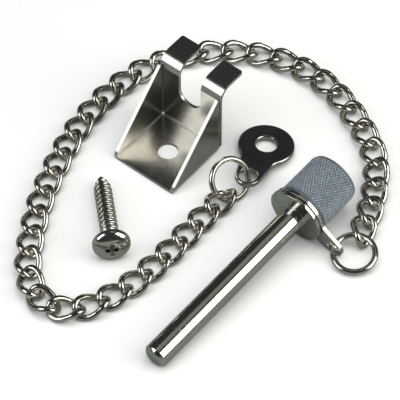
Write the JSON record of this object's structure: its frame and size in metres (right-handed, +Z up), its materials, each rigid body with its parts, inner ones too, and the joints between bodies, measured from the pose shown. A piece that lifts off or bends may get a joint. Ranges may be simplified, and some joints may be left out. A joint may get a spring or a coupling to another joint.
{
  "type": "chained locking pin",
  "caption": "Knurled locking pin tied by a curb chain and split rings to a screw-on anchor tab, with a folded slotted holder bracket and a wood screw.",
  "frame": {"origin": "on the surface that the pieces lie on, under the middle of the layout's box", "axes": "+Z up, +Y away from the viewer along the layout's longest side, +X to the right"},
  "size_m": [0.0848, 0.0934, 0.0204],
  "materials": {
    "anchor_nickel": "polished nickel plate on pressed steel",
    "ring_nickel": "nickel plated wire",
    "chain_nickel": "nickel plated wire, tumbled bright",
    "pin_steel": "turned and plated steel",
    "swivel_steel": "pressed and plated steel",
    "knob_aluminium": "fine diamond knurl, blue-grey",
    "bracket_steel": "folded sheet, satin nickel",
    "screw_nickel": "bright plated"
  },
  "bodies": {
    "anchor_tab": {"anchor_tab": "anchor_nickel"},
    "anchor_ring": {"anchor_ring": "ring_nickel"},
    "chain_link_01": {"chain_link_01": "chain_nickel"},
    "chain_link_02": {"chain_link_02": "chain_nickel"},
    "chain_link_03": {"chain_link_03": "chain_nickel"},
    "chain_link_04": {"chain_link_04": "chain_nickel"},
    "chain_link_05": {"chain_link_05": "chain_nickel"},
    "chain_link_06": {"chain_link_06": "chain_nickel"},
    "chain_link_07": {"chain_link_07": "chain_nickel"},
    "chain_link_08": {"chain_link_08": "chain_nickel"},
    "chain_link_09": {"chain_link_09": "chain_nickel"},
    "chain_link_10": {"chain_link_10": "chain_nickel"},
    "chain_link_11": {"chain_link_11": "chain_nickel"},
    "chain_link_12": {"chain_link_12": "chain_nickel"},
    "chain_link_13": {"chain_link_13": "chain_nickel"},
    "chain_link_14": {"chain_link_14": "chain_nickel"},
    "chain_link_15": {"chain_link_15": "chain_nickel"},
    "chain_link_16": {"chain_link_16": "chain_nickel"},
    "chain_link_17": {"chain_link_17": "chain_nickel"},
    "chain_link_18": {"chain_link_18": "chain_nickel"},
    "chain_link_19": {"chain_link_19": "chain_nickel"},
    "chain_link_20": {"chain_link_20": "chain_nickel"},
    "chain_link_21": {"chain_link_21": "chain_nickel"},
    "chain_link_22": {"chain_link_22": "chain_nickel"},
    "chain_link_23": {"chain_link_23": "chain_nickel"},
    "chain_link_24": {"chain_link_24": "chain_nickel"},
    "chain_link_25": {"chain_link_25": "chain_nickel"},
    "chain_link_26": {"chain_link_26": "chain_nickel"},
    "chain_link_27": {"chain_link_27": "chain_nickel"},
    "chain_link_28": {"chain_link_28": "chain_nickel"},
    "chain_link_29": {"chain_link_29": "chain_nickel"},
    "chain_link_30": {"chain_link_30": "chain_nickel"},
    "chain_link_31": {"chain_link_31": "chain_nickel"},
    "chain_link_32": {"chain_link_32": "chain_nickel"},
    "chain_link_33": {"chain_link_33": "chain_nickel"},
    "chain_link_34": {"chain_link_34": "chain_nickel"},
    "chain_link_35": {"chain_link_35": "chain_nickel"},
    "chain_link_36": {"chain_link_36": "chain_nickel"},
    "chain_link_37": {"chain_link_37": "chain_nickel"},
    "chain_link_38": {"chain_link_38": "chain_nickel"},
    "chain_link_39": {"chain_link_39": "chain_nickel"},
    "pin_ring": {"pin_ring": "ring_nickel"},
    "swivel_tab": {"swivel_tab": "swivel_steel"},
    "pin": {"pin_shank": "pin_steel", "knurled_knob": "knob_aluminium"},
    "holder_bracket": {"holder_bracket": "bracket_steel"},
    "mounting_screw": {"mounting_screw": "screw_nickel"}
  },
  "joints": [
    {"name": "anchor_ring_swing", "type": "hinge", "parent": "anchor_tab", "child": "anchor_ring", "pos_m": [0.0099, 0.00455, 0.00298], "axis": [0.5939, 0.7563, 0.2745], "range_deg": [-6, 6]},
    {"name": "link_01_turn", "type": "hinge", "parent": "anchor_tab", "child": "chain_link_01", "pos_m": [0.0056, 0.00069, 0.00176], "axis": [0, 0, 1], "range_deg": [-4, 4]},
    {"name": "link_02_turn", "type": "hinge", "parent": "chain_link_01", "child": "chain_link_02", "pos_m": [0.00172, -0.00369, 0.00176], "axis": [0, 0, -1], "range_deg": [-4, 4]},
    {"name": "link_03_turn", "type": "hinge", "parent": "chain_link_02", "child": "chain_link_03", "pos_m": [-0.00197, -0.00823, 0.00176], "axis": [0, 0, -1], "range_deg": [-4, 4]},
    {"name": "link_04_turn", "type": "hinge", "parent": "chain_link_03", "child": "chain_link_04", "pos_m": [-0.00547, -0.01291, 0.00176], "axis": [0, 0, 1], "range_deg": [-4, 4]},
    {"name": "link_05_turn", "type": "hinge", "parent": "chain_link_04", "child": "chain_link_05", "pos_m": [-0.00915, -0.01746, 0.00176], "axis": [0, 0, 1], "range_deg": [-4, 4]},
    {"name": "link_06_turn", "type": "hinge", "parent": "chain_link_05", "child": "chain_link_06", "pos_m": [-0.01302, -0.02185, 0.00176], "axis": [0, 0, -1], "range_deg": [-4, 4]},
    {"name": "link_07_turn", "type": "hinge", "parent": "chain_link_06", "child": "chain_link_07", "pos_m": [-0.01723, -0.02591, 0.00176], "axis": [0, 0, -1], "range_deg": [-4, 4]},
    {"name": "link_08_turn", "type": "hinge", "parent": "chain_link_07", "child": "chain_link_08", "pos_m": [-0.02212, -0.02912, 0.00176], "axis": [0, 0, 1], "range_deg": [-4, 4]},
    {"name": "link_09_turn", "type": "hinge", "parent": "chain_link_08", "child": "chain_link_09", "pos_m": [-0.0274, -0.03164, 0.00176], "axis": [0, 0, 1], "range_deg": [-4, 4]},
    {"name": "link_10_turn", "type": "hinge", "parent": "chain_link_09", "child": "chain_link_10", "pos_m": [-0.03324, -0.03126, 0.00176], "axis": [0, 0, -1], "range_deg": [-4, 4]},
    {"name": "link_11_turn", "type": "hinge", "parent": "chain_link_10", "child": "chain_link_11", "pos_m": [-0.03746, -0.02721, 0.00176], "axis": [0, 0, -1], "range_deg": [-4, 4]},
    {"name": "link_12_turn", "type": "hinge", "parent": "chain_link_11", "child": "chain_link_12", "pos_m": [-0.03914, -0.0216, 0.00176], "axis": [0, 0, 1], "range_deg": [-4, 4]},
    {"name": "link_13_turn", "type": "hinge", "parent": "chain_link_12", "child": "chain_link_13", "pos_m": [-0.0392, -0.01576, 0.00176], "axis": [0, 0, 1], "range_deg": [-4, 4]},
    {"name": "link_14_turn", "type": "hinge", "parent": "chain_link_13", "child": "chain_link_14", "pos_m": [-0.03858, -0.00994, 0.00176], "axis": [0, 0, -1], "range_deg": [-4, 4]},
    {"name": "link_15_turn", "type": "hinge", "parent": "chain_link_14", "child": "chain_link_15", "pos_m": [-0.03773, -0.00415, 0.00176], "axis": [0, 0, -1], "range_deg": [-4, 4]},
    {"name": "link_16_turn", "type": "hinge", "parent": "chain_link_15", "child": "chain_link_16", "pos_m": [-0.03636, 0.00154, 0.00176], "axis": [0, 0, 1], "range_deg": [-4, 4]},
    {"name": "link_17_turn", "type": "hinge", "parent": "chain_link_16", "child": "chain_link_17", "pos_m": [-0.03459, 0.00711, 0.00176], "axis": [0, 0, 1], "range_deg": [-4, 4]},
    {"name": "link_18_turn", "type": "hinge", "parent": "chain_link_17", "child": "chain_link_18", "pos_m": [-0.03261, 0.01262, 0.00176], "axis": [0, 0, -1], "range_deg": [-4, 4]},
    {"name": "link_19_turn", "type": "hinge", "parent": "chain_link_18", "child": "chain_link_19", "pos_m": [-0.03035, 0.01801, 0.00176], "axis": [0, 0, -1], "range_deg": [-4, 4]},
    {"name": "link_20_turn", "type": "hinge", "parent": "chain_link_19", "child": "chain_link_20", "pos_m": [-0.0276, 0.02318, 0.00176], "axis": [0, 0, 1], "range_deg": [-4, 4]},
    {"name": "link_21_turn", "type": "hinge", "parent": "chain_link_20", "child": "chain_link_21", "pos_m": [-0.02435, 0.02804, 0.00176], "axis": [0, 0, 1], "range_deg": [-4, 4]},
    {"name": "link_22_turn", "type": "hinge", "parent": "chain_link_21", "child": "chain_link_22", "pos_m": [-0.02058, 0.03252, 0.00176], "axis": [0, 0, -1], "range_deg": [-4, 4]},
    {"name": "link_23_turn", "type": "hinge", "parent": "chain_link_22", "child": "chain_link_23", "pos_m": [-0.01633, 0.03654, 0.00176], "axis": [0, 0, -1], "range_deg": [-4, 4]},
    {"name": "link_24_turn", "type": "hinge", "parent": "chain_link_23", "child": "chain_link_24", "pos_m": [-0.01141, 0.0397, 0.00176], "axis": [0, 0, 1], "range_deg": [-4, 4]},
    {"name": "link_25_turn", "type": "hinge", "parent": "chain_link_24", "child": "chain_link_25", "pos_m": [-0.00602, 0.04198, 0.00176], "axis": [0, 0, 1], "range_deg": [-4, 4]},
    {"name": "link_26_turn", "type": "hinge", "parent": "chain_link_25", "child": "chain_link_26", "pos_m": [-0.00033, 0.04332, 0.00176], "axis": [0, 0, -1], "range_deg": [-4, 4]},
    {"name": "link_27_turn", "type": "hinge", "parent": "chain_link_26", "child": "chain_link_27", "pos_m": [0.00551, 0.04364, 0.00176], "axis": [0, 0, -1], "range_deg": [-4, 4]},
    {"name": "link_28_turn", "type": "hinge", "parent": "chain_link_27", "child": "chain_link_28", "pos_m": [0.01133, 0.04306, 0.00176], "axis": [0, 0, 1], "range_deg": [-4, 4]},
    {"name": "link_29_turn", "type": "hinge", "parent": "chain_link_28", "child": "chain_link_29", "pos_m": [0.01699, 0.04155, 0.00176], "axis": [0, 0, 1], "range_deg": [-4, 4]},
    {"name": "link_30_turn", "type": "hinge", "parent": "chain_link_29", "child": "chain_link_30", "pos_m": [0.02222, 0.03894, 0.00176], "axis": [0, 0, -1], "range_deg": [-4, 4]},
    {"name": "link_31_turn", "type": "hinge", "parent": "chain_link_30", "child": "chain_link_31", "pos_m": [0.02687, 0.03538, 0.00176], "axis": [0, 0, -1], "range_deg": [-4, 4]},
    {"name": "link_32_turn", "type": "hinge", "parent": "chain_link_31", "child": "chain_link_32", "pos_m": [0.03069, 0.03095, 0.00176], "axis": [0, 0, 1], "range_deg": [-4, 4]},
    {"name": "link_33_turn", "type": "hinge", "parent": "chain_link_32", "child": "chain_link_33", "pos_m": [0.03374, 0.02596, 0.00176], "axis": [0, 0, 1], "range_deg": [-4, 4]},
    {"name": "link_34_turn", "type": "hinge", "parent": "chain_link_33", "child": "chain_link_34", "pos_m": [0.03628, 0.0207, 0.00176], "axis": [0, 0, -1], "range_deg": [-4, 4]},
    {"name": "link_35_turn", "type": "hinge", "parent": "chain_link_34", "child": "chain_link_35", "pos_m": [0.03832, 0.01521, 0.00176], "axis": [0, 0, -1], "range_deg": [-4, 4]},
    {"name": "link_36_turn", "type": "hinge", "parent": "chain_link_35", "child": "chain_link_36", "pos_m": [0.03945, 0.00947, 0.00176], "axis": [0, 0, 1], "range_deg": [-4, 4]},
    {"name": "link_37_turn", "type": "hinge", "parent": "chain_link_36", "child": "chain_link_37", "pos_m": [0.03892, 0.00365, 0.00176], "axis": [0, 0, 1], "range_deg": [-4, 4]},
    {"name": "link_38_turn", "type": "hinge", "parent": "chain_link_37", "child": "chain_link_38", "pos_m": [0.0378, -0.0021, 0.00176], "axis": [0, 0, -1], "range_deg": [-4, 4]},
    {"name": "link_39_turn", "type": "hinge", "parent": "chain_link_38", "child": "chain_link_39", "pos_m": [0.03608, -0.00769, 0.00176], "axis": [0, 0, -1], "range_deg": [-4, 4]},
    {"name": "pin_ring_swing", "type": "hinge", "parent": "chain_link_39", "child": "pin_ring", "pos_m": [0.02885, -0.01487, 0.00191], "axis": [0.8618, 0.4909, 0.1281], "range_deg": [-6, 6]},
    {"name": "pin_swing", "type": "hinge", "parent": "chain_link_39", "child": "swivel_tab", "pos_m": [0.02885, -0.01487, 0.00191], "axis": [0, 0, 1], "range_deg": [-7, 7]},
    {"name": "pin_turn", "type": "hinge", "parent": "swivel_tab", "child": "pin", "pos_m": [0.02109, -0.00859, 0.00702], "axis": [0.6563, 0.7497, 0.0847], "continuous": true},
    {"name": "bracket_lift", "type": "slide", "parent": "anchor_tab", "child": "holder_bracket", "axis": [0, 0, 1], "range_m": [0, 0.03]},
    {"name": "screw_turn", "type": "hinge", "parent": "anchor_tab", "child": "mounting_screw", "pos_m": [-0.0207, -0.01521, 0.00428], "axis": [-0.1379, 0.9815, -0.1329], "continuous": true}
  ]
}
